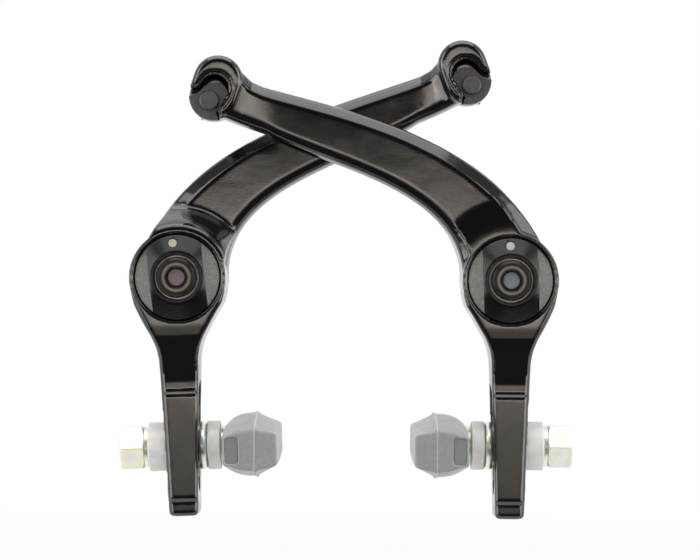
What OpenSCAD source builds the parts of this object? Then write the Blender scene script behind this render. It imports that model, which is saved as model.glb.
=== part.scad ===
// Centre-pull brake for a bicycle wheel, with two crossed arms on two frame studs.
// +X is the rider's right, +Y runs from the front of the brake to the frame, +Z is up.
// The origin lies midway between the two pivot axes, in the plane of the frame's mounting faces.

/* [Frame studs] */
// Distance between the two pivot axes
stud_spacing = 80; // [78:0.5:84]
// Diameter of the frame stud that the bushing slides over
stud_d = 8; // [7.6:0.1:8.4]
// Outside diameter of the bushing
bushing_d = 12; // [11.6:0.1:12.2]

/* [Pivot boss] */
// Diameter of the pivot boss
boss_d = 23.2; // [23:0.1:24]
// Gap between the mounting face and the rear face of the arm
boss_gap = 1.2; // [1:0.1:1.6]
// Distance of the boss face from the mounting face
boss_front = 22; // [22:0.1:23]
// Diameter of the recess that the spring adjuster sits in
recess_d = 20.8; // [20.6:0.1:21.4]
// Depth of that recess below the boss face
recess_depth = 2; // [1.6:0.1:2.2]
// How far the bushing stands out of the recess floor, so that the arm turns freely
end_float = 0.2; // [0.1:0.05:0.3]
// Outside diameter of the spring chamber
chamber_d = 19.2; // [18.9:0.1:19.6]
// Inside diameter of the spring chamber, round the hub
hub_d = 13.8; // [13.6:0.1:14]
// Depth of the spring chamber below the recess
chamber_depth = 13.6; // [13.3:0.1:14.6]
// Radial running clearance of the hub on its bushing
running = 0.04; // [0.02:0.01:0.08]

/* [Upper arm] */
// Depth of each upper arm, front to back
arm_depth = 8.6; // [8:0.1:9]
// Gap between the two arms where they cross
cross_gap = 1; // [0.8:0.1:1.8]
// Width of the bevel along the outer edge of the face, near the head
bevel_w = 2.2; // [1.5:0.1:2.6]
// Width of that bevel near the boss
bevel_boss_w = 3; // [2.4:0.1:3.4]
// Depth of that bevel
bevel_depth = 1.7; // [1.2:0.1:2.2]
// Radius of the rolled inner edge of the face
roll_r = 2.2; // [1.5:0.1:2.6]
// Radius of the edges at the back
back_r = 0.9; // [0.5:0.1:1.2]
// How far the side walls stand out at the forging's parting plane
draft = 0.35; // [0.2:0.05:0.5]
// How far the face of the front arm lies below its boss
face_dip = 0.6; // [0.3:0.1:1]
// How much higher the cable end of the rear arm is forged
rear_lift = 1.8; // [0:0.1:2.4]
// Angle that the rear arm has swung in from its neutral place
rear_lean = 2.4; // [0:0.1:4]

/* [Leg] */
// Distance from the pivot axis down to the foot of the leg
leg_len = 57.6; // [55:0.2:60]
// Distance of the leg's face from the mounting face
leg_front = 19.6; // [19:0.1:20.4]
// Distance of the leg's back from the mounting face
leg_back = 4.6; // [4:0.1:5.4]
// Width of the leg across its top, seen from the front
leg_top_w = 9.8; // [8.8:0.1:10.4]
// Width of the leg across its foot, seen from the front
leg_foot_w = 7.3; // [6.8:0.1:7.8]
// How far the pad of the leg's face stands out in front of the slot
panel_rise = 0.6; // [0.3:0.1:1]
// How far the leg's centre line lies outside the pivot axis
leg_out = 0.45; // [0.2:0.05:0.6]
// Distance from the foot up to the slot
slot_up = 5.6; // [5:0.1:6.4]
// Length of the slot from end to end
slot_len = 24; // [22:0.2:25]
// Width of the slot
slot_w = 6.6; // [6.4:0.1:7]
// Distance between the flats that are milled on both sides of the slot
seat_t = 6.4; // [5.8:0.1:6.6]
// Width of those flats
seat_w = 12.4; // [12.2:0.1:13]

/* [Cable end] */
// Width of the head along the arm
head_w = 11.8; // [11:0.1:12.6]
// Height of the head across the arm
head_h = 15.8; // [15:0.1:16.6]
// How far the head stands past the arm towards the other arm's plane
head_extra = 3.7; // [3.4:0.1:6]
// Radius of the round end of the cable pocket
pocket_r = 4.2; // [4:0.1:4.6]
// Depth of the pocket
pocket_depth = 5.2; // [4.6:0.1:6]
// Width of the ledge round the pocket
ledge_w = 0.9; // [0.6:0.1:1.1]
// Depth of that ledge
ledge_depth = 1.4; // [1:0.1:2]
// Diameter of the clamp bolt
clamp_bolt_d = 4.8; // [4.4:0.1:5]
// Thickness of the clamp plate
clamp_plate_t = 2.2; // [1.8:0.1:2.6]
// Size across the flats of the clamp bolt's nut
clamp_nut_af = 8; // [7.6:0.1:8.4]
// Thickness of that nut
clamp_nut_t = 3.6; // [3:0.1:4]

/* [Spring adjuster] */
// Diameter of the adjuster's flange
adjuster_d = 20.2; // [19.8:0.1:20.3]
// Thickness of the flange
flange_t = 1; // [0.8:0.1:1.2]
// Size across the spanner flats
flats_af = 13.2; // [13:0.1:14]
// Height of the flatted part at its rim
adjuster_rim = 2.2; // [2:0.1:2.6]
// Height of the flatted part at the round mouth
adjuster_mouth = 4.6; // [4.2:0.1:4.8]
// Diameter of the mouth that the screw head sits in
mouth_d = 12.6; // [12.2:0.1:12.8]
// Angle that the left adjuster is turned from upright
left_adjuster_turn = 7; // [0:0.5:15]
// Angle that the right adjuster is turned from upright
right_adjuster_turn = 2; // [0:0.5:15]

/* [Return spring] */
// Diameter of the spring wire
wire_d = 2; // [1.8:0.05:2.1]
// Radius from the pivot axis to the middle of the wire
coil_r = 8.2; // [8.1:0.05:8.3]
// Number of turns
coil_turns = 4.5; // [2.5:1:4.5]
// Gap between neighbouring turns
coil_gap = 0.25; // [0.15:0.05:0.3]

/* [Pivot screw] */
// Diameter of the screw's thread
screw_d = 6; // [5.6:0.1:6]
// Length of the threaded part
thread_len = 14; // [12:0.5:15]
// Diameter of the screw head
screw_head_d = 9.8; // [9.4:0.1:10.4]
// Height of the screw head
screw_head_h = 3; // [2.8:0.1:3.4]
// Size across the flats of the hexagon socket
socket_af = 5; // [4:0.1:5]
// Thickness of the washer under the head
screw_washer_t = 0.7; // [0.5:0.1:0.9]

/* [Pad and its fixings] */
// Distance from the foot of the left leg up to its stud
left_stud_up = 16.6; // [15:0.1:19]
// Distance from the foot of the right leg up to its stud
right_stud_up = 17.4; // [15:0.1:19]
// Diameter of the pad's stud
pad_stud_d = 6; // [5.6:0.1:6.2]
// Diameter of the spacers
spacer_d = 11.8; // [11:0.1:12]
// Length of the outer spacer
outer_spacer_t = 5.5; // [4:0.1:6.5]
// Length of the inner spacer
inner_spacer_t = 3.2; // [2.6:0.1:4]
// Thickness of the domed washer
dome_washer_t = 2.4; // [2:0.1:3]
// Diameter of the flat washer under the nut
flat_washer_d = 10; // [9.6:0.1:11]
// Thickness of that washer
flat_washer_t = 1.1; // [0.8:0.1:1.4]
// Size across the flats of the nut
nut_af = 10; // [9.6:0.1:10.4]
// Thickness of the nut
nut_t = 5.7; // [5:0.1:6.2]
// Length of the pad along the rim
pad_len = 50; // [46:0.5:54]
// Height of the pad at its middle
pad_h = 15; // [14:0.1:16]
// Height of the pad at its ends
pad_end_h = 9.8; // [9.2:0.1:10.6]
// Depth of the pad from its back to its braking face
pad_depth = 12.8; // [12.4:0.1:14]
// Height of the braking face
pad_face_h = 8.8; // [8.4:0.1:9.8]
// Distance of the mould's parting line from the back of the pad
parting = 7.8; // [7:0.1:8.4]
// Height of the flash along the parting line
flash = 0.35; // [0.2:0.05:0.5]
// Thickness of the steel backing strip in the pad
backing_t = 3; // [2.6:0.1:3.2]
// Height of that strip
backing_h = 6; // [5.4:0.1:6.4]

/* [Hidden] */
$fn = 64;
// Every cut runs this far past the faces that it opens
past = 1;
boss_r = boss_d / 2;
bore_r = bushing_d / 2 + running;
recess_floor = boss_front - recess_depth;
bushing_len = recess_floor + end_float;
chamber_floor = recess_floor - chamber_depth;
// Each upper arm lies on its own side of the plane midway between their faces
cross_plane = boss_front - arm_depth - cross_gap / 2;
front_arm_back = cross_plane + cross_gap / 2;
rear_arm_front = cross_plane - cross_gap / 2;
rear_arm_back = rear_arm_front - arm_depth;
// The arm's edges are two cubic curves from the boss to the neck, given for the right arm
outer_edge = [[9.3, 5], [-2.6, 32.9], [-34.1, 39.1], [-60, 45.8]];
inner_edge = [[-11.4, -1], [-10.6, 22.6], [-45.6, 27.1], [-59.4, 35]];
// Past the neck the outer edge flares up into the head and the sections grow deeper
neck = [
    [[-66.7, 51.2], [-69.7, 38.7], 0.8],
    [[-64.9, 49.2], [-66.2, 37.3], 0.35],
    [[-62.8, 47.1], [-62.8, 36.1], 0.08]
];
// From here on the rear arm's cable end rises
lift_from = 20;
arm_steps = 26;
// The back of the boss fades into the upper arm between these distances from the pivot axis
fade_from = 12.5;
fade_to = 21;
// The face of the boss falls to the arm's face in a curve between these radii
shoulder_from = 12;
front_shoulder_to = 21;
rear_shoulder_to = 17.6;
shoulder_steps = 8;
shoulder_root = 2.4;
sink = 0.05;
front_inset = [0.12, 0.16];
rear_inset = [0.02, 0.02];
outline_steps = 20;
// The head is a round-ended block that lies across the end of the arm
head_at = [-71.3, 45.6];
head_turn = -18;
head_r = head_w / 2;
head_offset = (head_h - head_w) / 2;
head_edge = 0.9;
// The pocket opens away from the other arm, and an S-shaped lip leads into it
pocket_at = [-71.5, 45.4];
rear_end_move = [0.4, 0, rear_lift];
lip = [[-1.1, 4.05], [-2.7, 3.1], [-3.5, 2.1], [-4.4, 1.3], [-5.6, 0.8], [-10, 0.4], [-10, -10]];
jaw = [[1.9, -10], [1.8, -6.3], [1.35, -5.5], [1.8, -4.6], [3, -3.2]];
lip_inset = [0.35, -0.95];
jaw_inset = [-0.85, 0.3];
lobe_r = 2.8;
lobe_at = [0.3, -1.2];
clamp_at = [-1.4, -2.8];
clamp_r = clamp_bolt_d / 2;
cable_gap = 0.35;
fit_gap = 0.05;
plate_rise = 0.3;
bolt_stands_out = 1.3;
// The leg widens in a curve where it meets the boss
flare_end = 20;
flare_rate = 0.04;
flare_top = 12.5;
flare_slope = 0.51;
leg_start = 1;
out_from = 5;
out_to = 11;
leg_edge = 0.9;
leg_face = leg_front - panel_rise;
slope_from = 13;
slope_to = 25;
slot_top = leg_len - slot_up - slot_len;
left_pad_drop = leg_len - left_stud_up;
right_pad_drop = leg_len - right_stud_up;
panel_from = slot_top - 0.5;
panel_to = slot_top + slot_len + 1.3;
panel_step = 0.6;
foot_r = 1;
slot_depth = (leg_front + leg_back) / 2;
slot_r = slot_w / 2;
seat_r = seat_w / 2;
seat_x = seat_t / 2;
// The adjuster lies on the end of the bushing, and the screw clamps it there
flange_front = bushing_len + flange_t;
screw_seat = bushing_len + 1.6;
mouth_front = bushing_len + adjuster_mouth;
rim_front = bushing_len + adjuster_rim;
mouth_wall = 0.7;
mouth_round = 0.3;
mouth_bore_r = mouth_d / 2 - mouth_wall;
screw_hole_r = 3.3;
shoulder_r = 3.2;
screw_head_back = screw_seat + screw_washer_t;
screw_head_front = screw_head_back + screw_head_h;
shoulder_back = bushing_len - 0.6;
socket_depth = 2;
plug_r = 2;
plug_t = 0.8;
head_chamfer = 0.8;
rear_seal_t = boss_gap - 0.2;
rear_seal_r = 9.4;
stud_hole_r = stud_d / 2 + fit_gap;
coil_pitch = wire_d + coil_gap;
coil_base = chamber_floor + wire_d / 2 + 0.3;
coil_top = coil_base + coil_turns * coil_pitch;
tang_depth = 2;
tang_fit = 0.3;
tip_front = rim_front + 1.5;
coil_steps = 20;
wire_sides = 8;
// The pad's stack, measured out from the leg's centre line towards the rim
dome_in = seat_x + dome_washer_t;
collar_in = dome_in + inner_spacer_t;
collar_t = 1.4;
collar_r = 4.7;
pad_back = collar_in + collar_t;
cover_t = 0.6;
backing_at = pad_back + cover_t;
backing_end_gap = 0.3;
stud_r = pad_stud_d / 2;
washer_hole_r = stud_r + 0.15;
// The other end of the stack, measured out from the same line away from the rim
spacer_out = seat_x + outer_spacer_t;
washer_out = spacer_out + flat_washer_t;
nut_out = washer_out + nut_t;
stud_end_gap = 0.4;
// The pad's profile: distance from its back, half its height at the middle, half at the ends
pad_half = pad_h / 2;
end_half = pad_end_h / 2;
face_half = pad_face_h / 2;
flash_at = parting - 0.5;
pad_shape = [
    [0, 4.8, backing_h / 2 + 0.35], [0.6, 5.4, backing_h / 2 + 0.5],
    [1.8, pad_half - 1.1, end_half - 1.2], [3.4, pad_half - 0.4, end_half - 0.6],
    [5.2, pad_half - 0.05, end_half - 0.2], [flash_at, pad_half, end_half],
    [flash_at + 0.1, pad_half + flash, end_half + flash],
    [parting - 0.1, pad_half + flash, end_half + flash], [parting, pad_half - 0.15, end_half - 0.1],
    [pad_depth - 0.7, face_half + 0.4, end_half - 0.9],
    [pad_depth - 0.15, face_half - 0.1, end_half - 1.3], [pad_depth, face_half - 0.7, end_half - 1.8]
];
pad_steps = 14;
pad_overrun = 1 + past / pad_len;
black = [0.06, 0.06, 0.065];
steel = [0.72, 0.72, 0.7];
zinc = [0.78, 0.76, 0.62];
alloy = [0.8, 0.8, 0.81];
rubber = [0.5, 0.55, 0.58];

// A point on a cubic curve through four control points
function curve(p, t) =
    pow(1 - t, 3) * p[0] + 3 * t * pow(1 - t, 2) * p[1] + 3 * t * t * (1 - t) * p[2] + pow(t, 3) * p[3];
// A smooth step from 0 at a to 1 at b
function ease(a, b, t) = let (s = min(1, max(0, (t - a) / (b - a)))) s * s * (3 - 2 * s);
function mix(a, b, s) = a + (b - a) * s;

// One section of a forging between an inner and an outer point, each [x, z], and two depths
function section(inner, outer, back, front, bevel, roll) =
    let (
        w = norm(outer - inner),
        u = (outer - inner) / w,
        mid = (front + back) / 2,
        outline = [
            [roll, front],
            [w - bevel[0], front],
            [w, front - bevel[1]],
            [w + draft, mid],
            [w, back + back_r],
            [w - back_r, back],
            [back_r, back],
            [0, back + back_r],
            [-draft, mid],
            [0, front - roll],
            [0.07 * roll, front - 0.62 * roll],
            [0.29 * roll, front - 0.29 * roll],
            [0.62 * roll, front - 0.07 * roll]
        ]
    )
    [for (q = outline) [inner[0] + u[0] * q[0], -q[1], inner[1] + u[1] * q[0]]];

// A closed solid through a list of sections with equally many points
module skin(sections) {
    n = len(sections[0]);
    last = len(sections) - 1;
    points = [for (s = sections) each s];
    sides = [
        for (i = [0 : last - 1], j = [0 : n - 1])
            let (a = i * n + j, b = i * n + (j + 1) % n)
            each [[a, b, b + n], [a, b + n, a + n]]
    ];
    start = [[for (j = [n - 1 : -1 : 0]) j]];
    end = [[for (j = [0 : n - 1]) last * n + j]];
    polyhedron(points = points, faces = concat(sides, start, end), convexity = 6);
}

// A flat shape drawn in X and Z, made solid between two distances from the mounting face
module slab(back, front) {
    rotate([90, 0, 0])
        translate([0, 0, back])
            linear_extrude(front - back) children();
}

// A round bar between two distances from the mounting face
module bar(r, back, front) {
    rotate([90, 0, 0])
        translate([0, 0, back])
            cylinder(r = r, h = front - back);
}

// A profile of [radius, distance from the mounting face], turned about the pivot axis
module turned(profile) {
    rotate([90, 0, 0]) rotate_extrude() polygon(profile);
}

// A flat shape drawn in Y and Z, made solid between two distances out from the leg's centre line
module crosswise(from, to) {
    translate([from, 0, 0])
        rotate([90, 0, 90])
            linear_extrude(to - from) children();
}

// A profile of [radius, distance out], turned about the stud's axis
module turned_crosswise(profile) {
    rotate([90, 0, 90]) rotate_extrude() polygon(profile);
}

// A hexagonal prism with both ends turned to a chamfer
module hexagon_bar(af, t, chamfer) {
    r = af / sqrt(3);
    intersection() {
        cylinder(r = r, h = t, $fn = 6);
        rotate_extrude()
            polygon([
                [0, 0], [r - chamfer, 0], [r, chamfer * 0.6],
                [r, t - chamfer * 0.6], [r - chamfer, t], [0, t]
            ]);
    }
}

// Both sides are drawn on the right pivot axis, and the left side is their mirror image
module at_right(turn) {
    translate([stud_spacing / 2, 0, 0]) rotate([0, -turn, 0]) children();
}

module at_left(turn) {
    translate([-stud_spacing / 2, 0, 0]) rotate([0, -turn, 0]) mirror([1, 0, 0]) children();
}

// The upper arm from the boss through the neck, between the given faces of its blade
module blade(back, front, head_back, head_front, lift) {
    skin([
        for (n = neck)
            section(
                raised(n[1], lift), raised(n[0], lift),
                mix(back, head_back, n[2]), mix(front, head_front, n[2]),
                [bevel_w, bevel_depth], roll_r
            ),
        for (i = [0 : arm_steps])
            let (
                t = 1 - i / arm_steps,
                inner = curve(inner_edge, t),
                outer = curve(outer_edge, t),
                s = ease(fade_from, fade_to, norm((inner + outer) / 2))
            )
            section(
                raised(inner, lift), raised(outer, lift), mix(boss_gap, back, s), front,
                [mix(bevel_boss_w, bevel_w, ease(0.2, 0.9, t)), bevel_depth], roll_r
            )
    ]);
}

// A point of the arm's edge, raised more and more towards the cable end
function raised(p, lift) =
    p + lift * pow(max(0, -p[0] - lift_from) / (-head_at[0] - lift_from), 2) * [0, 1];

// The face of the boss falls to the arm's face in a curve that runs round the pivot axis
module shoulder(front, reach, inset) {
    rows = [for (i = [0 : outline_steps]) i / outline_steps / 2];
    intersection() {
        turned(concat(
            [[0, front - shoulder_root], [reach, front - shoulder_root]],
            [
                for (i = [shoulder_steps : -1 : 0])
                    let (k = i / shoulder_steps)
                    [mix(shoulder_from, reach, k), mix(boss_front, front - sink, ease(0, 1, k))]
            ],
            [[0, boss_front]]
        ));
        slab(front - shoulder_root - past, boss_front + past)
            polygon(concat(
                [for (t = rows) beside(t, inset[0])],
                [for (i = [outline_steps : -1 : 0]) beside(rows[i], 1 - inset[1])]
            ));
    }
}

// A point between the arm's edges, from 0 at the inner one to 1 at the outer one
function beside(t, k) = mix(curve(inner_edge, t), curve(outer_edge, t), k);

// The leg from inside the boss down to its rounded foot
module leg() {
    marks = concat(
        [for (i = [0 : 10]) mix(leg_start, panel_from, i / 10)],
        [panel_from + panel_step, panel_to, panel_to + panel_step],
        [for (a = [0 : 30 : 90]) leg_len - foot_r + foot_r * sin(a)]
    );
    skin([
        for (d = marks)
            let (
                straight = mix(leg_top_w, leg_foot_w, (d - flare_end) / (leg_len - flare_end)) / 2,
                flare = flare_rate * pow(max(0, flare_end - max(d, flare_top)), 2)
                    + flare_slope * max(0, flare_top - d),
                tuck = foot_r - sqrt(max(0, pow(foot_r, 2) - pow(max(0, d - leg_len + foot_r), 2))),
                half = min(straight + flare, boss_r - draft / 2) - draft / 2 - tuck * 0.9,
                out = leg_out * ease(out_from, out_to, d),
                s = ease(slope_from, slope_to, d),
                p = ease(panel_from, panel_from + panel_step, d)
                    - ease(panel_to, panel_to + panel_step, d),
                front = mix(boss_front, leg_face, s) + panel_rise * p,
                back = mix(boss_gap, leg_back, s)
            )
            section(
                [out - half, -d], [out + half, -d], back, front - tuck * 0.9,
                [leg_edge, leg_edge], leg_edge
            )
    ]);
}

// The outline of the head, drawn with its middle at the origin and inset by some width
module head_outline(inset) {
    rotate(head_turn) {
        translate([0, head_offset]) circle(r = head_r - inset);
        translate([0, -head_offset]) circle(r = head_r - inset);
        square([2 * (head_r - inset), 2 * head_offset], center = true);
    }
}

// The outline of the cable pocket round its own middle, inset by some width
module pocket_outline(inset) {
    circle(r = pocket_r - inset);
    polygon(concat(
        [for (p = lip) p + inset * lip_inset],
        [for (p = jaw) p + inset * jaw_inset]
    ));
}

module head(back, front) {
    translate([head_at[0], 0, head_at[1]])
        hull() {
            slab(back + head_edge, front - head_edge) head_outline(0);
            slab(back, front) head_outline(head_edge);
        }
}

// A complete arm: blade, boss, leg and head, with all that is cut from the forging
module arm(back, front, head_back, head_front, reach, inset, end_move, tang_turn) {
    difference() {
        union() {
            blade(back, front, head_back, head_front, end_move[2]);
            shoulder(front, reach, inset);
            leg();
            bar(boss_r, boss_gap, boss_front);
            translate(end_move) head(head_back, head_front);
        }
        bar(bore_r, -past, boss_front + past);
        bar(recess_d / 2, recess_floor, boss_front + past);
        difference() {
            bar(chamber_d / 2, chamber_floor, boss_front + past);
            bar(hub_d / 2, chamber_floor - past, recess_floor);
        }
        rotate([0, -tang_turn, 0])
            translate([0, 0, -coil_r])
                bar(wire_d / 2 + tang_fit, chamber_floor - tang_depth - tang_fit, chamber_floor + past);
        leg_cuts();
        translate(end_move + [pocket_at[0], 0, pocket_at[1]]) {
            slab(head_front - ledge_depth, head_front + past) pocket_outline(0);
            slab(head_front - pocket_depth, head_front + past) pocket_outline(ledge_w);
            translate([clamp_at[0], 0, clamp_at[1]])
                bar(clamp_r + fit_gap, head_back - past, head_front + past);
        }
    }
}

// The slot for the pad's stud and the flats on both sides of it
module leg_cuts() {
    top = -slot_top - slot_r;
    bottom = -slot_top - slot_len + slot_r;
    translate([0, -slot_depth, 0]) {
        crosswise(-boss_r, boss_r) long_hole(slot_r, top, bottom);
        crosswise(seat_x, boss_r) long_hole(seat_r, top, bottom);
        crosswise(-boss_r, -seat_x) long_hole(seat_r, top, bottom);
    }
}

module long_hole(r, top, bottom) {
    translate([0, top]) circle(r = r);
    translate([0, bottom]) circle(r = r);
    translate([-r, bottom]) square([2 * r, top - bottom]);
}

module front_arm() {
    color(black)
        at_right(0)
            arm(
                front_arm_back, boss_front - face_dip, front_arm_back - head_extra, boss_front,
                front_shoulder_to, front_inset, [0, 0, 0], right_adjuster_turn
            );
}

module rear_arm() {
    color(black)
        at_left(rear_lean)
            arm(
                rear_arm_back, rear_arm_front, rear_arm_back, rear_arm_front + head_extra,
                rear_shoulder_to, rear_inset, rear_end_move, rear_lean - left_adjuster_turn
            );
}

module bushing() {
    color(steel)
        difference() {
            bar(bushing_d / 2, 0, bushing_len);
            bar(stud_hole_r, -past, bushing_len + past);
        }
}

module rear_seal() {
    color(rubber)
        difference() {
            bar(rear_seal_r, 0, rear_seal_t);
            bar(bore_r + fit_gap, -past, rear_seal_t + past);
        }
}

// The coil, with one end through the adjuster and the other in the arm
module return_spring() {
    color(steel) {
        skin([
            for (i = [0 : coil_turns * coil_steps])
                let (a = 270 + 360 * i / coil_steps, d = coil_base + coil_pitch * i / coil_steps)
                [
                    for (k = [0 : wire_sides - 1])
                        let (b = 360 * (k + 0.5) / wire_sides, r = coil_r + wire_d / 2 * cos(b))
                        [r * cos(a), -d - wire_d / 2 * sin(b), r * sin(a)]
                ]
        ]);
        translate([0, 0, coil_r]) bar(wire_d / 2, coil_top, tip_front);
        translate([0, 0, -coil_r]) bar(wire_d / 2, chamber_floor - tang_depth, coil_base);
    }
}

// A round flange and a turned cone with two spanner flats, round the mouth for the screw head
module spring_adjuster() {
    r = adjuster_d / 2;
    color(black)
        difference() {
            union() {
                bar(r, bushing_len, flange_front);
                intersection() {
                    turned([
                        [0, bushing_len], [r, bushing_len], [r, rim_front],
                        [mouth_d / 2 + mouth_round, mouth_front - mouth_round],
                        [mouth_d / 2 - mouth_round, mouth_front], [0, mouth_front]
                    ]);
                    slab(bushing_len, mouth_front + past)
                        square([flats_af, adjuster_d + past], center = true);
                }
            }
            bar(screw_hole_r, bushing_len - past, mouth_front + past);
            bar(mouth_bore_r, screw_seat, mouth_front + past);
            translate([0, 0, coil_r]) bar(wire_d / 2 + 0.15, bushing_len - past, mouth_front + past);
        }
}

module screw_washer() {
    color(steel)
        difference() {
            bar(mouth_bore_r - 0.3, screw_seat, screw_head_back);
            bar(screw_hole_r, screw_seat - past, screw_head_back + past);
        }
}

// A flat round head with a hexagon socket, a shoulder and the threaded part
module pivot_screw() {
    r = screw_head_d / 2;
    color(black)
        difference() {
            union() {
                turned([
                    [0, screw_head_back], [r, screw_head_back], [r, screw_head_front - head_chamfer],
                    [r - head_chamfer, screw_head_front], [0, screw_head_front]
                ]);
                bar(shoulder_r, shoulder_back, screw_head_back);
                bar(screw_d / 2, shoulder_back - thread_len, shoulder_back);
            }
            slab(screw_head_front - socket_depth, screw_head_front + past)
                circle(r = socket_af / sqrt(3), $fn = 6);
        }
}

module socket_plug() {
    floor = screw_head_front - socket_depth;
    color(steel) bar(plug_r, floor, floor + plug_t);
}

// The stud with its collar, threaded all along
module pad_stud(drop) {
    color(zinc)
        translate([0, -slot_depth, -drop]) {
            crosswise(-backing_at, nut_out - stud_end_gap) circle(r = stud_r);
            crosswise(-pad_back, -collar_in) circle(r = collar_r);
        }
}

module pad_backing(drop) {
    color(steel)
        translate([0, -slot_depth, -drop])
            crosswise(-backing_at - backing_t, -backing_at)
                square([pad_len - 2 * backing_end_gap, backing_h], center = true);
}

// The rubber is tallest at its middle, where the stud is, and tapers to both ends
module brake_pad(drop) {
    color(rubber)
        translate([-pad_back, -slot_depth, -drop])
            difference() {
                intersection() {
                    skin([for (i = [0 : pad_steps]) pad_section((2 * i / pad_steps - 1) * pad_overrun)]);
                    crosswise(-pad_depth - past, past)
                        square([pad_len, 2 * (pad_half + flash + past)], center = true);
                }
                crosswise(-cover_t - backing_t, -cover_t)
                    square([pad_len + past, backing_h], center = true);
                crosswise(-cover_t - backing_t / 2, past) circle(r = stud_r + fit_gap);
            }
}

// A section of the rubber at a place from -1 to 1 along the pad
function pad_section(place) =
    let (
        k = place * place,
        y = place * pad_len / 2,
        n = len(pad_shape) - 1,
        half = [for (p = pad_shape) [p[0], mix(p[1], p[2], k)]]
    )
    concat(
        [for (p = half) [-p[0], y, p[1]]],
        [for (i = [0 : n]) [-half[n - i][0], y, -half[n - i][1]]]
    );

module inner_spacer(drop) {
    color(alloy)
        translate([0, -slot_depth, -drop])
            rounded_ring(spacer_d / 2, -collar_in, -dome_in, 0.3);
}

module dome_washer(drop) {
    color(zinc)
        translate([0, -slot_depth, -drop])
            rounded_ring(spacer_d / 2 - 0.1, -dome_in, -seat_x - fit_gap, dome_washer_t * 0.4);
}

module outer_spacer(drop) {
    color(alloy)
        translate([0, -slot_depth, -drop])
            rounded_ring(spacer_d / 2, seat_x + fit_gap, spacer_out, 0.3);
}

module flat_washer(drop) {
    color(zinc)
        translate([0, -slot_depth, -drop])
            rounded_ring(flat_washer_d / 2, spacer_out, washer_out, 0.15);
}

// A ring round the stud, with its outer corners turned off
module rounded_ring(r, from, to, edge) {
    turned_crosswise([
        [washer_hole_r, from], [r - edge, from], [r - edge * 0.3, from + edge * 0.3],
        [r, from + edge], [r, to - edge], [r - edge * 0.3, to - edge * 0.3],
        [r - edge, to], [washer_hole_r, to]
    ]);
}

module pad_nut(drop) {
    color(zinc)
        translate([washer_out, -slot_depth, -drop])
            rotate([90, 0, 90])
                difference() {
                    hexagon_bar(nut_af, nut_t, 0.7);
                    translate([0, 0, -past]) cylinder(r = stud_r + fit_gap, h = nut_t + 2 * past);
                }
}

// The clamp plate fills the pocket below its curved lobe, which the cable bends round
module cable_plate(head_front) {
    back = head_front - pocket_depth;
    color(black)
        difference() {
            slab(back, back + clamp_plate_t + plate_rise)
                intersection() {
                    translate(head_at) head_outline(0.1);
                    translate(pocket_at) pocket_outline(ledge_w + fit_gap);
                    translate(pocket_at)
                        union() {
                            translate(lobe_at) circle(r = lobe_r);
                            translate([-0.4, -0.7])
                                polygon(concat(
                                    [for (p = lip) p + (ledge_w + cable_gap + 0.5) * lip_inset],
                                    [for (p = jaw) p + (ledge_w + cable_gap) * jaw_inset + [0.4, 0]]
                                ));
                        }
                }
            translate([pocket_at[0] + clamp_at[0], 0, pocket_at[1] + clamp_at[1]])
                bar(clamp_r + fit_gap, back - past, head_front);
        }
}

module clamp_bolt(head_back, head_front) {
    front = head_front - pocket_depth + clamp_plate_t + bolt_stands_out;
    color(steel)
        translate([pocket_at[0] + clamp_at[0], 0, pocket_at[1] + clamp_at[1]])
            turned([
                [0, head_back - clamp_nut_t - 1], [clamp_r - 0.3, head_back - clamp_nut_t - 1],
                [clamp_r, head_back - clamp_nut_t - 0.7], [clamp_r, front - 0.4],
                [clamp_r - 0.4, front], [0, front]
            ]);
}

module clamp_nut(head_back) {
    color(steel)
        translate([pocket_at[0] + clamp_at[0], clamp_nut_t - head_back, pocket_at[1] + clamp_at[1]])
            rotate([90, 0, 0])
                difference() {
                    hexagon_bar(clamp_nut_af, clamp_nut_t, 0.6);
                    translate([0, 0, -past]) cylinder(r = clamp_r + fit_gap, h = clamp_nut_t + 2 * past);
                }
}

module left_bushing() { at_left(0) bushing(); }
module right_bushing() { at_right(0) bushing(); }
module left_rear_seal() { at_left(0) rear_seal(); }
module right_rear_seal() { at_right(0) rear_seal(); }
module left_return_spring() { at_left(left_adjuster_turn) return_spring(); }
module right_return_spring() { at_right(right_adjuster_turn) return_spring(); }
module left_spring_adjuster() { at_left(left_adjuster_turn) spring_adjuster(); }
module right_spring_adjuster() { at_right(right_adjuster_turn) spring_adjuster(); }
module left_screw_washer() { at_left(0) screw_washer(); }
module right_screw_washer() { at_right(0) screw_washer(); }
module left_pivot_screw() { at_left(0) pivot_screw(); }
module right_pivot_screw() { at_right(0) pivot_screw(); }
module left_socket_plug() { at_left(0) socket_plug(); }
module right_socket_plug() { at_right(0) socket_plug(); }
module left_pad_stud() { at_left(rear_lean) pad_stud(left_pad_drop); }
module right_pad_stud() { at_right(0) pad_stud(right_pad_drop); }
module left_pad_backing() { at_left(rear_lean) pad_backing(left_pad_drop); }
module right_pad_backing() { at_right(0) pad_backing(right_pad_drop); }
module left_brake_pad() { at_left(rear_lean) brake_pad(left_pad_drop); }
module right_brake_pad() { at_right(0) brake_pad(right_pad_drop); }
module left_inner_spacer() { at_left(rear_lean) inner_spacer(left_pad_drop); }
module right_inner_spacer() { at_right(0) inner_spacer(right_pad_drop); }
module left_dome_washer() { at_left(rear_lean) dome_washer(left_pad_drop); }
module right_dome_washer() { at_right(0) dome_washer(right_pad_drop); }
module left_outer_spacer() { at_left(rear_lean) outer_spacer(left_pad_drop); }
module right_outer_spacer() { at_right(0) outer_spacer(right_pad_drop); }
module left_flat_washer() { at_left(rear_lean) flat_washer(left_pad_drop); }
module right_flat_washer() { at_right(0) flat_washer(right_pad_drop); }
module left_pad_nut() { at_left(rear_lean) pad_nut(left_pad_drop); }
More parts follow.
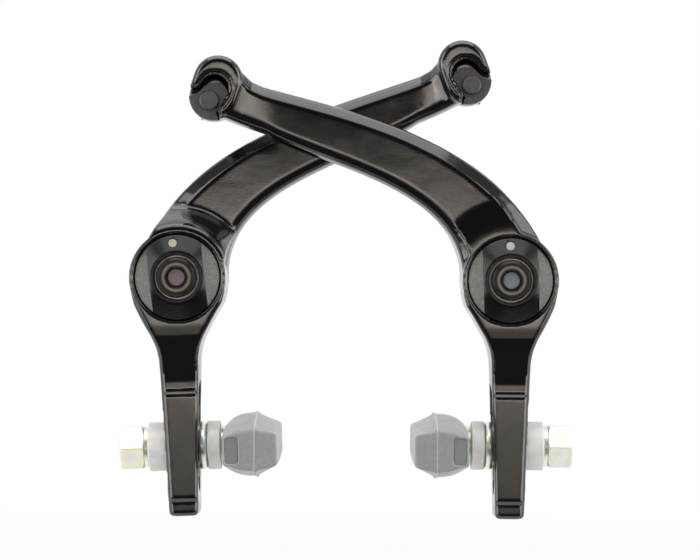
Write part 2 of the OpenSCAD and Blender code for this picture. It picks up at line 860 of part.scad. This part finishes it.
module right_pad_nut() { at_right(0) pad_nut(right_pad_drop); }
module left_cable_plate() { at_right(0) cable_plate(boss_front); }
module right_cable_plate() {
    at_left(rear_lean) translate(rear_end_move) cable_plate(rear_arm_front + head_extra);
}
module left_clamp_bolt() { at_right(0) clamp_bolt(front_arm_back - head_extra, boss_front); }
module right_clamp_bolt() {
    at_left(rear_lean)
        translate(rear_end_move) clamp_bolt(rear_arm_back, rear_arm_front + head_extra);
}
module left_clamp_nut() { at_right(0) clamp_nut(front_arm_back - head_extra); }
module right_clamp_nut() { at_left(rear_lean) translate(rear_end_move) clamp_nut(rear_arm_back); }

front_arm();
rear_arm();
left_bushing();
right_bushing();
left_rear_seal();
right_rear_seal();
left_return_spring();
right_return_spring();
left_spring_adjuster();
right_spring_adjuster();
left_screw_washer();
right_screw_washer();
left_pivot_screw();
right_pivot_screw();
left_socket_plug();
right_socket_plug();
left_pad_stud();
right_pad_stud();
left_pad_backing();
right_pad_backing();
left_brake_pad();
right_brake_pad();
left_inner_spacer();
right_inner_spacer();
left_dome_washer();
right_dome_washer();
left_outer_spacer();
right_outer_spacer();
left_flat_washer();
right_flat_washer();
left_pad_nut();
right_pad_nut();
left_cable_plate();
right_cable_plate();
left_clamp_bolt();
right_clamp_bolt();
left_clamp_nut();
right_clamp_nut();
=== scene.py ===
"""Looks for a crossed-arm rim brake: black forged arms, plated and turned hardware, moulded pads."""
import math

import bpy
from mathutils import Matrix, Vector

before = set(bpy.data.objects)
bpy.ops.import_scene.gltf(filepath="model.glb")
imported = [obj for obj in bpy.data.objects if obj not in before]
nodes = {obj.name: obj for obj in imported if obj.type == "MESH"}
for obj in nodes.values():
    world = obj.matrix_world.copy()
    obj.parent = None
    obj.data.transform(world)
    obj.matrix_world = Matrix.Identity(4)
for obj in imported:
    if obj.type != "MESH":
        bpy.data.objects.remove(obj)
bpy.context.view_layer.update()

# The two arms: hot-forged aluminium, machined at the boss, slot and cable pocket, then tumbled
# and anodised black. The skin is glossy with a fine grain, and every edge is softly rolled.
ARM_BLACK_DEEP = (0.0015, 0.0015, 0.002, 1)
ARM_BLACK_WORN = (0.008, 0.0078, 0.0075, 1)
ARM_SKIN_MM = 0.365
ARM_EASING = 5
EASING_SHARE = 0.083
PIVOT_ACROSS = 0.04
SPRING_CHAMBER_RADIUS = 0.0098
SPRING_CHAMBER_FRONT = 0.0195
CLOSING_REACH = 1e-6
GRAIN_IN_COLOUR = 0.6
CLOUD_IN_COLOUR = 0.4
CLOUD_DARKEST = 0.3
CLOUD_PALEST = 0.7


def maths(tree, operation, *values):
    """Adds a Math node, with numbers set and sockets linked, and gives its result."""
    node = tree.nodes.new("ShaderNodeMath")
    node.operation = operation
    for socket, value in zip(node.inputs, values):
        if isinstance(value, (int, float)):
            socket.default_value = value
        else:
            tree.links.new(value, socket)
    return node.outputs[0]


def fade(tree, value, start, end, low=0, high=1, even=False):
    """Leads a value from low at start to high at end, softly or evenly."""
    node = tree.nodes.new("ShaderNodeMapRange")
    node.interpolation_type = "LINEAR" if even else "SMOOTHSTEP"
    for label, number in (("From Min", start), ("From Max", end), ("To Min", low), ("To Max", high)):
        node.inputs[label].default_value = number
    tree.links.new(value, node.inputs["Value"])
    return node.outputs["Result"]


def relief(tree, name, height, distance):
    """Adds a named Bump node for a height and gives its normal."""
    node = tree.nodes.new("ShaderNodeBump")
    node.name = name
    node.inputs["Distance"].default_value = distance
    tree.links.new(height, node.inputs["Height"])
    return node.outputs["Normal"]


def split_up(tree, place):
    """Splits a place into its distances across, back and up."""
    split = tree.nodes.new("ShaderNodeSeparateXYZ")
    tree.links.new(place, split.inputs[0])
    return split.outputs


def place_on_piece(tree):
    """The place on a piece in metres: across, back and up."""
    return split_up(tree, tree.nodes.new("ShaderNodeTexCoord").outputs["Object"])


def from_pivot(tree, place, across):
    """Distance from the nearer pivot axis, which runs from front to back."""
    side = maths(tree, "SUBTRACT", maths(tree, "ABSOLUTE", place["X"]), across)
    side_square = maths(tree, "MULTIPLY", side, side)
    rise_square = maths(tree, "MULTIPLY", place["Z"], place["Z"])
    return maths(tree, "SQRT", maths(tree, "ADD", side_square, rise_square))


def open_group(name, kind, inputs, outputs):
    """Starts a node group with named inputs and outputs, and gives it with its end sockets."""
    tree = bpy.data.node_groups.new(name, kind)
    for label, number in inputs.items():
        shape = {type(None): "Geometry", int: "Int", float: "Float"}[type(number)]
        socket = tree.interface.new_socket(label, in_out="INPUT", socket_type="NodeSocket" + shape)
        if number is not None:
            socket.default_value = number
    for label in outputs:
        shape = "Geometry" if label == "Geometry" else "Float"
        tree.interface.new_socket(label, in_out="OUTPUT", socket_type="NodeSocket" + shape)
    return tree, tree.nodes.new("NodeGroupInput").outputs, tree.nodes.new("NodeGroupOutput").inputs


def place_group(tree, group, values):
    """Places a shader node group in a tree with its own values."""
    node = tree.nodes.new("ShaderNodeGroup")
    node.node_tree = group
    for label, number in values.items():
        node.inputs[label].default_value = number
    return node.outputs


def grain_group():
    """Fine surface grain of a tumbled or moulded skin, with slow cloudy change on top."""
    tree, entry, leave = open_group(
        "tumbled_grain", "ShaderNodeTree",
        {"Grain size mm": 0.3, "Cloud size mm": 9.0}, ("Grain", "Cloud"),
    )
    place = tree.nodes.new("ShaderNodeTexCoord")
    for size, out, detail in (("Grain size mm", "Grain", 2), ("Cloud size mm", "Cloud", 3)):
        noise = tree.nodes.new("ShaderNodeTexNoise")
        noise.inputs["Detail"].default_value = detail
        tree.links.new(place.outputs["Object"], noise.inputs["Vector"])
        tree.links.new(maths(tree, "DIVIDE", 1000, entry[size]), noise.inputs["Scale"])
        tree.links.new(noise.outputs["Fac"], leave[out])
    return tree


tumbled_grain = grain_group()


def open_material(name, metallic):
    """Starts a material and gives it with its tree and its shader's inputs."""
    mat = bpy.data.materials.new(name)
    mat.use_nodes = True
    shader = mat.node_tree.nodes["Principled BSDF"].inputs
    shader["Metallic"].default_value = metallic
    return mat, mat.node_tree, shader


def skin_material(
    name, deep, worn, rough, grain_mm, cloud_mm, relief_mm, wave_mm=0, metallic=0, specular=0.5, ior=1.5,
):
    """A skin whose colour, gloss and relief follow the grain, for metal, plastic and rubber."""
    mat, tree, shader = open_material(name, metallic)
    link = tree.links.new
    shader["Specular IOR Level"].default_value = specular
    shader["IOR"].default_value = ior
    grain = place_group(tree, tumbled_grain, {"Grain size mm": grain_mm, "Cloud size mm": cloud_mm})
    blend = tree.nodes.new("ShaderNodeMix")
    blend.data_type = "RGBA"
    blend.inputs["A"].default_value = deep
    blend.inputs["B"].default_value = worn
    clouds = maths(tree, "MULTIPLY", grain["Cloud"], CLOUD_IN_COLOUR)
    link(maths(tree, "MULTIPLY_ADD", grain["Grain"], GRAIN_IN_COLOUR, clouds), blend.inputs["Factor"])
    link(blend.outputs["Result"], shader["Base Color"])
    gloss = fade(tree, grain["Cloud"], CLOUD_DARKEST, CLOUD_PALEST, *rough, even=True)
    link(gloss, shader["Roughness"])
    link(relief(tree, "grain_relief", grain["Grain"], relief_mm / 1000), shader["Normal"])
    if wave_mm:
        wave = relief(tree, "wave_relief", grain["Cloud"], wave_mm / 1000)
        link(wave, tree.nodes["grain_relief"].inputs["Normal"])
    return mat


def lean_near_head(mat, across_mm, up_mm, middle_mm, lean):
    """Leans the face of each arm a little downwards near its head, as the forging does there."""
    tree = mat.node_tree
    place = place_on_piece(tree)
    aside = fade(tree, maths(tree, "ABSOLUTE", place["X"]), *(mm / 1000 for mm in across_mm))
    above = fade(tree, place["Z"], *(mm / 1000 for mm in up_mm))
    rise = maths(tree, "SUBTRACT", place["Z"], middle_mm / 1000)
    height = maths(tree, "MULTIPLY", rise, maths(tree, "MULTIPLY", aside, above))
    tree.links.new(relief(tree, "lean", height, lean), tree.nodes["wave_relief"].inputs["Normal"])


def dress(names, mat):
    """Gives CAD nodes their material."""
    for name in names:
        nodes[name].data.materials.clear()
        nodes[name].data.materials.append(mat)


def both_sides(*parts):
    """The names of like pieces on the left and the right."""
    return [side + part for side in ("left_", "right_") for part in parts]


def easing_tree():
    """Geometry tree that rolls a skin's edges but keeps the bored spring chambers crisp."""
    tree, entry, leave = open_group(
        "ease_edges", "GeometryNodeTree",
        {
            "Geometry": None, "Passes": ARM_EASING, "Pivot across": PIVOT_ACROSS,
            "Chamber radius": SPRING_CHAMBER_RADIUS, "Chamber front": SPRING_CHAMBER_FRONT,
        },
        ("Geometry",),
    )
    link = tree.links.new
    here = tree.nodes.new("GeometryNodeInputPosition").outputs[0]
    place = split_up(tree, here)
    radius = from_pivot(tree, place, entry["Pivot across"])
    near = maths(tree, "LESS_THAN", radius, entry["Chamber radius"])
    inside = maths(tree, "GREATER_THAN", maths(tree, "ADD", place["Y"], entry["Chamber front"]), 0)
    blur = tree.nodes.new("GeometryNodeBlurAttribute")
    blur.data_type = "FLOAT_VECTOR"
    blur.inputs["Weight"].default_value = EASING_SHARE
    link(here, blur.inputs["Value"])
    link(entry["Passes"], blur.inputs["Iterations"])
    move = tree.nodes.new("GeometryNodeSetPosition")
    link(entry["Geometry"], move.inputs["Geometry"])
    link(maths(tree, "SUBTRACT", 1, maths(tree, "MULTIPLY", near, inside)), move.inputs["Selection"])
    link(blur.outputs["Value"], move.inputs["Position"])
    link(move.outputs["Geometry"], leave["Geometry"])
    return tree


ease_edges = easing_tree()


def close_skin(piece):
    """Joins the loose triangles of a CAD node into one closed skin."""
    piece.modifiers.new("close", "WELD").merge_threshold = CLOSING_REACH


def rolled_skin(name, skin_mm, passes):
    """Turns the faceted solid into an even skin, then eases its edges as tumbling does."""
    piece = nodes[name]
    close_skin(piece)
    skin = piece.modifiers.new("skin", "REMESH")
    skin.mode = "VOXEL"
    skin.voxel_size = skin_mm / 1000
    skin.use_smooth_shade = True
    ease = piece.modifiers.new("ease", "NODES")
    ease.node_group = ease_edges
    ease[ease_edges.interface.items_tree["Passes"].identifier] = passes


anodised_black = skin_material(
    "anodised_black", ARM_BLACK_DEEP, ARM_BLACK_WORN, rough=(0.07, 0.13),
    grain_mm=0.28, cloud_mm=14, relief_mm=0.004, wave_mm=0.04, specular=0.58, ior=1.77,
)
lean_near_head(anodised_black, across_mm=(15, 23), up_mm=(30, 37), middle_mm=42, lean=0.034)
dress(("front_arm", "rear_arm"), anodised_black)
for arm in ("front_arm", "rear_arm"):
    rolled_skin(arm, ARM_SKIN_MM, ARM_EASING)

# The hardware at each pivot: a turned aluminium spring adjuster with spanner flats, anodised
# black, held by a black-oxide screw over a steel washer on the bushing. The spring's end shows
# through the adjuster, in steel on the right and in brass colour on the left.
TURNING_PITCH_MM = 0.42
TURNING_GRAIN_MM = 0.3
TURNING_CLOUD_MM = 3
BAND_REACH_MM = 30
GRAIN_SHADE = (0.3, 1.7)
CORNER_ANGLE = 32
FLAT_ANGLE = 0.5
ADJUSTER_BLACK = (0.003, 0.003, 0.003)
ADJUSTER_WORN = (0.37, 0.36, 0.34)
SCREW_BLACK = (0.006, 0.005, 0.005)
SOCKET_DULL = (0.09, 0.078, 0.065)
RIM_WORN = (0.26, 0.23, 0.19)
RIM_DULL = (0.07, 0.06, 0.055)
HEAD_SIDE = (0.006, 0.006, 0.006)
HEAD_FOOT = (0.005, 0.005, 0.005)
STEEL_DARK = (0.45, 0.45, 0.45)
STEEL_PALE = (0.5, 0.5, 0.5)
PIVOT_CORNERS_MM = {
    "spring_adjuster": 0.18, "pivot_screw": 0.18, "screw_washer": 0.1, "bushing": 0.2,
    "rear_seal": 0.15, "socket_plug": 0.12, "return_spring": 0.1,
}


def crisp_tree():
    """Geometry tree that shades small hardware smooth, apart from its true corners."""
    tree, entry, leave = open_group(
        "shade_by_corner", "GeometryNodeTree", {"Geometry": None, "Corner angle": 0.6}, ("Geometry",)
    )
    link = tree.links.new
    smooth = tree.nodes.new("GeometryNodeSetShadeSmooth")
    smooth.domain = "FACE"
    sharp = tree.nodes.new("GeometryNodeSetShadeSmooth")
    sharp.domain = "EDGE"
    sharp.inputs["Shade Smooth"].default_value = False
    angle = tree.nodes.new("GeometryNodeInputMeshEdgeAngle").outputs["Unsigned Angle"]
    link(entry["Geometry"], smooth.inputs["Geometry"])
    link(smooth.outputs["Geometry"], sharp.inputs["Geometry"])
    link(maths(tree, "GREATER_THAN", angle, entry["Corner angle"]), sharp.inputs["Selection"])
    link(sharp.outputs["Geometry"], leave["Geometry"])
    return tree


shade_by_corner = crisp_tree()


def broken_corners(widths_mm):
    """Breaks the sharp corners of turned or pressed pieces on both sides and shades them evenly."""
    for name in both_sides(*widths_mm):
        piece = nodes[name]
        close_skin(piece)
        flat = piece.modifiers.new("flat_faces", "DECIMATE")
        flat.decimate_type = "DISSOLVE"
        flat.angle_limit = math.radians(FLAT_ANGLE)
        corner = piece.modifiers.new("broken_corner", "BEVEL")
        corner.width = widths_mm[name.split("_", 1)[1]] / 1000
        corner.segments = 2
        corner.limit_method = "ANGLE"
        corner.angle_limit = math.radians(CORNER_ANGLE)
        piece.modifiers.new("shade", "NODES").node_group = shade_by_corner
        piece.modifiers.new("even_shade", "WEIGHTED_NORMAL").keep_sharp = True


def turning_group():
    """Distance from a pivot axis, distance from the mounting face, and the rings a lathe leaves."""
    tree, entry, leave = open_group(
        "lathe_rings", "ShaderNodeTree", {"Pitch mm": 0.3}, ("Radius mm", "Rings", "Depth mm")
    )
    place = place_on_piece(tree)
    radius = maths(tree, "MULTIPLY", from_pivot(tree, place, PIVOT_ACROSS), 1000)
    turns = maths(tree, "DIVIDE", radius, entry["Pitch mm"])
    rings = maths(tree, "SINE", maths(tree, "MULTIPLY", turns, 2 * math.pi))
    tree.links.new(radius, leave["Radius mm"])
    tree.links.new(rings, leave["Rings"])
    tree.links.new(maths(tree, "MULTIPLY", place["Y"], -1000), leave["Depth mm"])
    return tree


lathe_rings = turning_group()


def colour_bands(tree, value, bands):
    """Colours a value by bands of (place, colour), from the first band to the last."""
    ramp = tree.nodes.new("ShaderNodeValToRGB")
    stops = ramp.color_ramp.elements
    for stop, (at, colour) in zip(stops, (bands[0], bands[-1])):
        stop.position = at
        stop.color = (*colour, 1)
    for at, colour in bands[1:-1]:
        stops.new(at).color = (*colour, 1)
    tree.links.new(value, ramp.inputs["Fac"])
    return ramp.outputs["Color"]


def turned_material(name, bands_mm, rough, relief_mm, metallic, measure="Radius mm", dull=0):
    """A turned face: colour in bands by radius or depth over fine rings, dull where it is pale."""
    mat, tree, shader = open_material(name, metallic)
    link = tree.links.new
    rings = place_group(tree, lathe_rings, {"Pitch mm": TURNING_PITCH_MM})
    sizes = {"Grain size mm": TURNING_GRAIN_MM, "Cloud size mm": TURNING_CLOUD_MM}
    grain = place_group(tree, tumbled_grain, sizes)
    bands = [(at / BAND_REACH_MM, colour) for at, colour in bands_mm]
    colour = colour_bands(tree, maths(tree, "DIVIDE", rings[measure], BAND_REACH_MM), bands)
    tint = tree.nodes.new("ShaderNodeVectorMath")
    tint.operation = "SCALE"
    link(colour, tint.inputs[0])
    link(fade(tree, grain["Grain"], 0, 1, *GRAIN_SHADE, even=True), tint.inputs["Scale"])
    link(tint.outputs[0], shader["Base Color"])
    gloss = fade(tree, grain["Cloud"], 0, 1, *rough, even=True)
    link(maths(tree, "MULTIPLY_ADD", colour, dull, gloss), shader["Roughness"])
    link(relief(tree, "ring_relief", rings["Rings"], relief_mm / 1000), shader["Normal"])
    return mat


adjuster_black = turned_material(
    "adjuster_black",
    (
        (0, ADJUSTER_BLACK), (21.1, ADJUSTER_WORN), (21.3, ADJUSTER_WORN),
        (21.45, ADJUSTER_BLACK), (30, ADJUSTER_BLACK),
    ),
    rough=(0.2, 0.28), relief_mm=0.003, metallic=0, measure="Depth mm", dull=1,
)
screw_black = turned_material(
    "screw_black",
    (
        (0, SCREW_BLACK), (2.5, SCREW_BLACK), (2.8, SOCKET_DULL), (3.2, RIM_WORN),
        (3.5, RIM_DULL), (3.75, HEAD_SIDE), (30, HEAD_FOOT),
    ),
    rough=(0.22, 0.34), relief_mm=0.002, metallic=0.4, dull=0.8,
)
machined_steel = turned_material(
    "machined_steel", ((0, STEEL_DARK), (30, STEEL_PALE)),
    rough=(0.25, 0.4), relief_mm=0.002, metallic=1,
)
spring_wire = skin_material(
    "spring_wire", (0.7, 0.69, 0.64, 1), (0.92, 0.91, 0.88, 1), rough=(0.34, 0.5),
    grain_mm=0.4, cloud_mm=3, relief_mm=0.001, metallic=0.8,
)
brass_wire = skin_material(
    "brass_wire", (0.62, 0.6, 0.38, 1), (0.9, 0.87, 0.66, 1), rough=(0.34, 0.5),
    grain_mm=0.4, cloud_mm=3, relief_mm=0.001, metallic=0.8,
)
seal_plastic = skin_material(
    "seal_plastic", (0.05, 0.05, 0.05, 1), (0.08, 0.08, 0.08, 1), rough=(0.5, 0.6),
    grain_mm=0.3, cloud_mm=5, relief_mm=0.004,
)
plug_blue = skin_material(
    "plug_blue", (0.14, 0.19, 0.22, 1), (0.24, 0.31, 0.35, 1), rough=(0.25, 0.35),
    grain_mm=0.3, cloud_mm=2, relief_mm=0.002,
)
plug_rose = skin_material(
    "plug_rose", (0.17, 0.11, 0.13, 1), (0.26, 0.19, 0.22, 1), rough=(0.25, 0.35),
    grain_mm=0.3, cloud_mm=2, relief_mm=0.002,
)
dress(both_sides("spring_adjuster"), adjuster_black)
dress(both_sides("pivot_screw"), screw_black)
dress(both_sides("screw_washer", "bushing"), machined_steel)
dress(both_sides("rear_seal"), seal_plastic)
dress(("right_return_spring",), spring_wire)
dress(("left_return_spring",), brass_wire)
dress(("right_socket_plug",), plug_blue)
dress(("left_socket_plug",), plug_rose)
broken_corners(PIVOT_CORNERS_MM)

# The cable clamp in each arm's head: a pressed plate with a lobe for the cable to bend round, on
# a short bolt with a nut at the back, all in black oxide that is rubbed grey.
CLAMP_CORNERS_MM = {"cable_plate": 0.2, "clamp_bolt": 0.15, "clamp_nut": 0.15}
clamp_black = skin_material(
    "clamp_black", (0.04, 0.04, 0.04, 1), (0.17, 0.165, 0.155, 1), rough=(0.3, 0.5),
    grain_mm=0.3, cloud_mm=1.6, relief_mm=0.012, metallic=0.4,
)
dress(both_sides(*CLAMP_CORNERS_MM), clamp_black)
broken_corners(CLAMP_CORNERS_MM)

# The pad's fixings: steel stud, domed washer, flat washer and nut, zinc plated with a faint
# yellow and blue passivation, and two tumbled aluminium spacers.
ZINC_BLUE = (0.78, 0.84, 0.86)
ZINC_YELLOW = (0.95, 0.91, 0.72)
DRIFT_GRAIN_MM = 1.6
DRIFT_CLOUD_MM = 4
DRIFT_BLUEST, DRIFT_YELLOWEST = 0.35, 0.62
ZINC_CORNERS_MM = {"pad_stud": 0.2, "dome_washer": 0.15, "flat_washer": 0.12, "pad_nut": 0.7}
SPACER_CORNERS_MM = {"inner_spacer": 0.15, "outer_spacer": 0.15}


def zinc_material():
    """Bright zinc with the blue and yellow drift that passivation leaves."""
    mat = skin_material(
        "zinc_plate", (*ZINC_BLUE, 1), (*ZINC_YELLOW, 1), rough=(0.28, 0.46),
        grain_mm=0.25, cloud_mm=2.5, relief_mm=0.003, metallic=1,
    )
    tree = mat.node_tree
    sizes = {"Grain size mm": DRIFT_GRAIN_MM, "Cloud size mm": DRIFT_CLOUD_MM}
    drift = place_group(tree, tumbled_grain, sizes)
    bands = ((DRIFT_BLUEST, ZINC_BLUE), (DRIFT_YELLOWEST, ZINC_YELLOW))
    tint = colour_bands(tree, drift["Cloud"], bands)
    tree.links.new(tint, tree.nodes["Principled BSDF"].inputs["Base Color"])
    return mat


zinc_plate = zinc_material()
tumbled_alloy = skin_material(
    "tumbled_alloy", (0.7, 0.685, 0.66, 1), (0.97, 0.96, 0.95, 1), rough=(0.45, 0.6),
    grain_mm=0.3, cloud_mm=2.5, relief_mm=0.012, metallic=0.25,
)
dress(both_sides(*ZINC_CORNERS_MM), zinc_plate)
dress(both_sides(*SPACER_CORNERS_MM), tumbled_alloy)
broken_corners(ZINC_CORNERS_MM)
broken_corners(SPACER_CORNERS_MM)

# The pads: blocks of grey translucent rubber moulded round a steel strip, with a thin line of
# flash where the halves of the mould met. The flash line's paler colour is a painted highlight.
PAD_SKIN_MM = 0.28
PAD_EASING = 6
# A painted highlight for the flash ridge, which is the same rubber as the rest of the pad.
FLASH_HIGHLIGHT = (0.5, 0.52, 0.5, 1)
pad_rubber = skin_material(
    "pad_rubber", (0.24, 0.258, 0.248, 1), (0.38, 0.4, 0.385, 1), rough=(0.28, 0.42),
    grain_mm=0.9, cloud_mm=4, relief_mm=0.012,
)
pad_shader = pad_rubber.node_tree.nodes["Principled BSDF"].inputs
pad_shader["Subsurface Weight"].default_value = 0.35
pad_shader["Subsurface Radius"].default_value = (0.004, 0.0045, 0.005)
pad_shader["Subsurface Scale"].default_value = 1


def flash_line(mat, across_mm, aside_mm, half_mm, relief_mm):
    """A raised line round each pad with a painted highlight along it, which lies further out on the
    right one.
    """
    tree = mat.node_tree
    link = tree.links.new
    across = place_on_piece(tree)["X"]
    middle = maths(tree, "MULTIPLY_ADD", maths(tree, "SIGN", across), aside_mm / 1000, across_mm / 1000)
    line = maths(tree, "COMPARE", maths(tree, "ABSOLUTE", across), middle, half_mm / 1000)
    colour = tree.nodes["Principled BSDF"].inputs["Base Color"]
    # Painted highlight: the colour along the flash line is mixed towards a paler grey.
    pale = tree.nodes.new("ShaderNodeMix")
    pale.data_type = "RGBA"
    pale.inputs["B"].default_value = FLASH_HIGHLIGHT
    link(colour.links[0].from_socket, pale.inputs["A"])
    link(line, pale.inputs["Factor"])
    link(pale.outputs["Result"], colour)
    ridge = relief(tree, "flash_relief", line, relief_mm / 1000)
    link(ridge, tree.nodes["grain_relief"].inputs["Normal"])


flash_line(pad_rubber, across_mm=21.475, aside_mm=0.825, half_mm=0.13, relief_mm=0.12)
backing_steel = skin_material(
    "backing_steel", (0.2, 0.208, 0.2, 1), (0.27, 0.28, 0.268, 1), rough=(0.4, 0.55),
    grain_mm=0.4, cloud_mm=2, relief_mm=0.02, metallic=0.1,
)
dress(both_sides("brake_pad"), pad_rubber)
dress(both_sides("pad_backing"), backing_steel)
for pad in both_sides("brake_pad"):
    rolled_skin(pad, PAD_SKIN_MM, PAD_EASING)
broken_corners({"pad_backing": 0.15})

# The studio: a pale floor below the brake, which hangs level as on its frame studs, a wide soft
# lamp above and one at each side. The room is white behind the brake and at both sides, and in
# front it has a warm glow at the brake's own height, which the black faces of the arms mirror.
FLOOR_DROP = 0.09
FLOOR_FRONT = 0.06
FLOOR_BACK = 3.0
FLOOR_HALF = 2.0
FLOOR_GREY = (0.86, 0.86, 0.86, 1)
SHADOW_REACH = 0.4
SHADOW_WHITE = 0.6
WHITE = (1, 1, 1, 1)
TENT_WHITE = (0.95, 0.95, 0.95, 1)
FRONT_GLOW = (
    (0.0, 0.05), (0.4, 0.03), (0.438, 0.06), (0.452, 0.45), (0.485, 1.1), (0.498, 3.4), (0.51, 3.0),
    (0.516, 0.5), (0.521, 0.02), (0.6, 0.01), (0.7, 0.02), (0.8, 0.2), (1.0, 0.3),
)
WARM_FROM = 0.44
WARM_TO = 0.52
WARM_TINT = (1, 0.9, 0.8)
WING_FROM, WING_FULL = 0.72, 0.95
BEHIND_FROM, BEHIND_FULL = -0.3, 0.2
LAMPS = (
    ("top_light", (0.0, -0.2, 0.8), (0.9, 0.9), 4.2),
    ("left_light", (-0.8, -0.6, 0.15), (0.8, 1.1), 5.6),
    ("right_light", (0.8, -0.6, 0.15), (0.8, 1.1), 5.6),
)


def seen_white(tree, shaded, white, out, share):
    """Shows plain white in place of the shaded surface, by a share set for each kind of ray."""
    path = tree.nodes.new("ShaderNodeLightPath").outputs
    mirrored = maths(tree, "ADD", path["Is Glossy Ray"], path["Is Transmission Ray"])
    white.inputs["Color"].default_value = WHITE
    white.inputs["Strength"].default_value = 1
    blend = tree.nodes.new("ShaderNodeMixShader")
    tree.links.new(share(mirrored, path["Is Camera Ray"]), blend.inputs["Fac"])
    tree.links.new(shaded.outputs[0], blend.inputs[1])
    tree.links.new(white.outputs[0], blend.inputs[2])
    tree.links.new(blend.outputs[0], tree.nodes[out].inputs["Surface"])


def studio_floor():
    """A pale matt floor that keeps the brake's shadow and shows white further out."""
    mesh = bpy.data.meshes.new("studio_floor")
    corners = (
        (-FLOOR_HALF, -FLOOR_FRONT), (FLOOR_HALF, -FLOOR_FRONT),
        (FLOOR_HALF, FLOOR_BACK), (-FLOOR_HALF, FLOOR_BACK),
    )
    mesh.from_pydata([(x, y, -FLOOR_DROP) for x, y in corners], [], [(0, 1, 2, 3)])
    floor = bpy.data.objects.new("studio_floor", mesh)
    bpy.context.scene.collection.objects.link(floor)
    mat = bpy.data.materials.new("pale_floor")
    mat.use_nodes = True
    tree = mat.node_tree
    tree.nodes.remove(tree.nodes["Principled BSDF"])
    matt = tree.nodes.new("ShaderNodeBsdfDiffuse")
    matt.inputs["Color"].default_value = FLOOR_GREY
    away = tree.nodes.new("ShaderNodeVectorMath")
    away.operation = "LENGTH"
    tree.links.new(tree.nodes.new("ShaderNodeTexCoord").outputs["Object"], away.inputs[0])
    clear = fade(tree, away.outputs["Value"], SHADOW_REACH / 2, SHADOW_REACH, SHADOW_WHITE, 1)

    def share(mirrored, direct):
        return maths(tree, "MULTIPLY", maths(tree, "ADD", mirrored, direct), clear)

    seen_white(tree, matt, tree.nodes.new("ShaderNodeEmission"), "Material Output", share)
    mesh.materials.append(mat)


def softbox(name, place, size, watts):
    """A wide soft lamp that faces the brake."""
    data = bpy.data.lights.new(name, "AREA")
    data.shape = "RECTANGLE"
    data.size, data.size_y = size
    data.energy = watts
    lamp = bpy.data.objects.new(name, data)
    bpy.context.scene.collection.objects.link(lamp)
    lamp.location = place
    lamp.rotation_mode = "QUATERNION"
    lamp.rotation_quaternion = (-Vector(place)).to_track_quat("-Z", "Y")


def studio_room():
    """The room: dark in front but for the glow and a pale ceiling, white at the sides and behind."""
    world = bpy.data.worlds.new("studio_room")
    bpy.context.scene.world = world
    world.use_nodes = True
    tree = world.node_tree
    room = tree.nodes["Background"]
    place = split_up(tree, tree.nodes.new("ShaderNodeTexCoord").outputs["Generated"])
    glow = []
    for at, grey in FRONT_GLOW:
        tint = WARM_TINT if WARM_FROM < at < WARM_TO else (1, 1, 1)
        glow.append((at, [grey * part for part in tint]))
    front = colour_bands(tree, fade(tree, place["Z"], -1, 1, even=True), glow)
    wing = fade(tree, maths(tree, "ABSOLUTE", place["X"]), WING_FROM, WING_FULL)
    behind = fade(tree, place["Y"], BEHIND_FROM, BEHIND_FULL)
    tent = tree.nodes.new("ShaderNodeMix")
    tent.data_type = "RGBA"
    tent.inputs["B"].default_value = TENT_WHITE
    tree.links.new(maths(tree, "MAXIMUM", wing, behind), tent.inputs["Factor"])
    tree.links.new(front, tent.inputs["A"])
    tree.links.new(tent.outputs["Result"], room.inputs["Color"])
    room.inputs["Strength"].default_value = 1

    def share(mirrored, direct):
        shown = maths(tree, "MULTIPLY_ADD", mirrored, behind, direct)
        shown.node.use_clamp = True
        return shown

    seen_white(tree, room, tree.nodes.new("ShaderNodeBackground"), "World Output", share)


studio_floor()
for lamp_values in LAMPS:
    softbox(*lamp_values)
studio_room()
bpy.context.scene.view_settings.view_transform = "Standard"

# The camera stands square in front of the brake, far enough back that the pads show end-on, and
# leans by half a degree. Its lens shows the given width at the depth of the bosses' front faces.
CAMERA_BACK = 0.65
CAMERA_ASIDE = 0.00144
CAMERA_UP = -0.00024
CAMERA_ROLL = -0.55
FACE_DEPTH = 0.022
VIEW_WIDTH = 0.16767
FILM_WIDTH = 36
camera_data = bpy.data.cameras.new("front_camera")
camera_data.sensor_width = FILM_WIDTH
camera_data.lens = FILM_WIDTH * (CAMERA_BACK - FACE_DEPTH) / VIEW_WIDTH
camera_data.clip_start = 0.05
camera_data.clip_end = 20
camera = bpy.data.objects.new("front_camera", camera_data)
bpy.context.scene.collection.objects.link(camera)
camera.location = (CAMERA_ASIDE, -CAMERA_BACK, CAMERA_UP)
camera.rotation_euler = (math.radians(90), math.radians(CAMERA_ROLL), 0)
bpy.context.scene.camera = camera
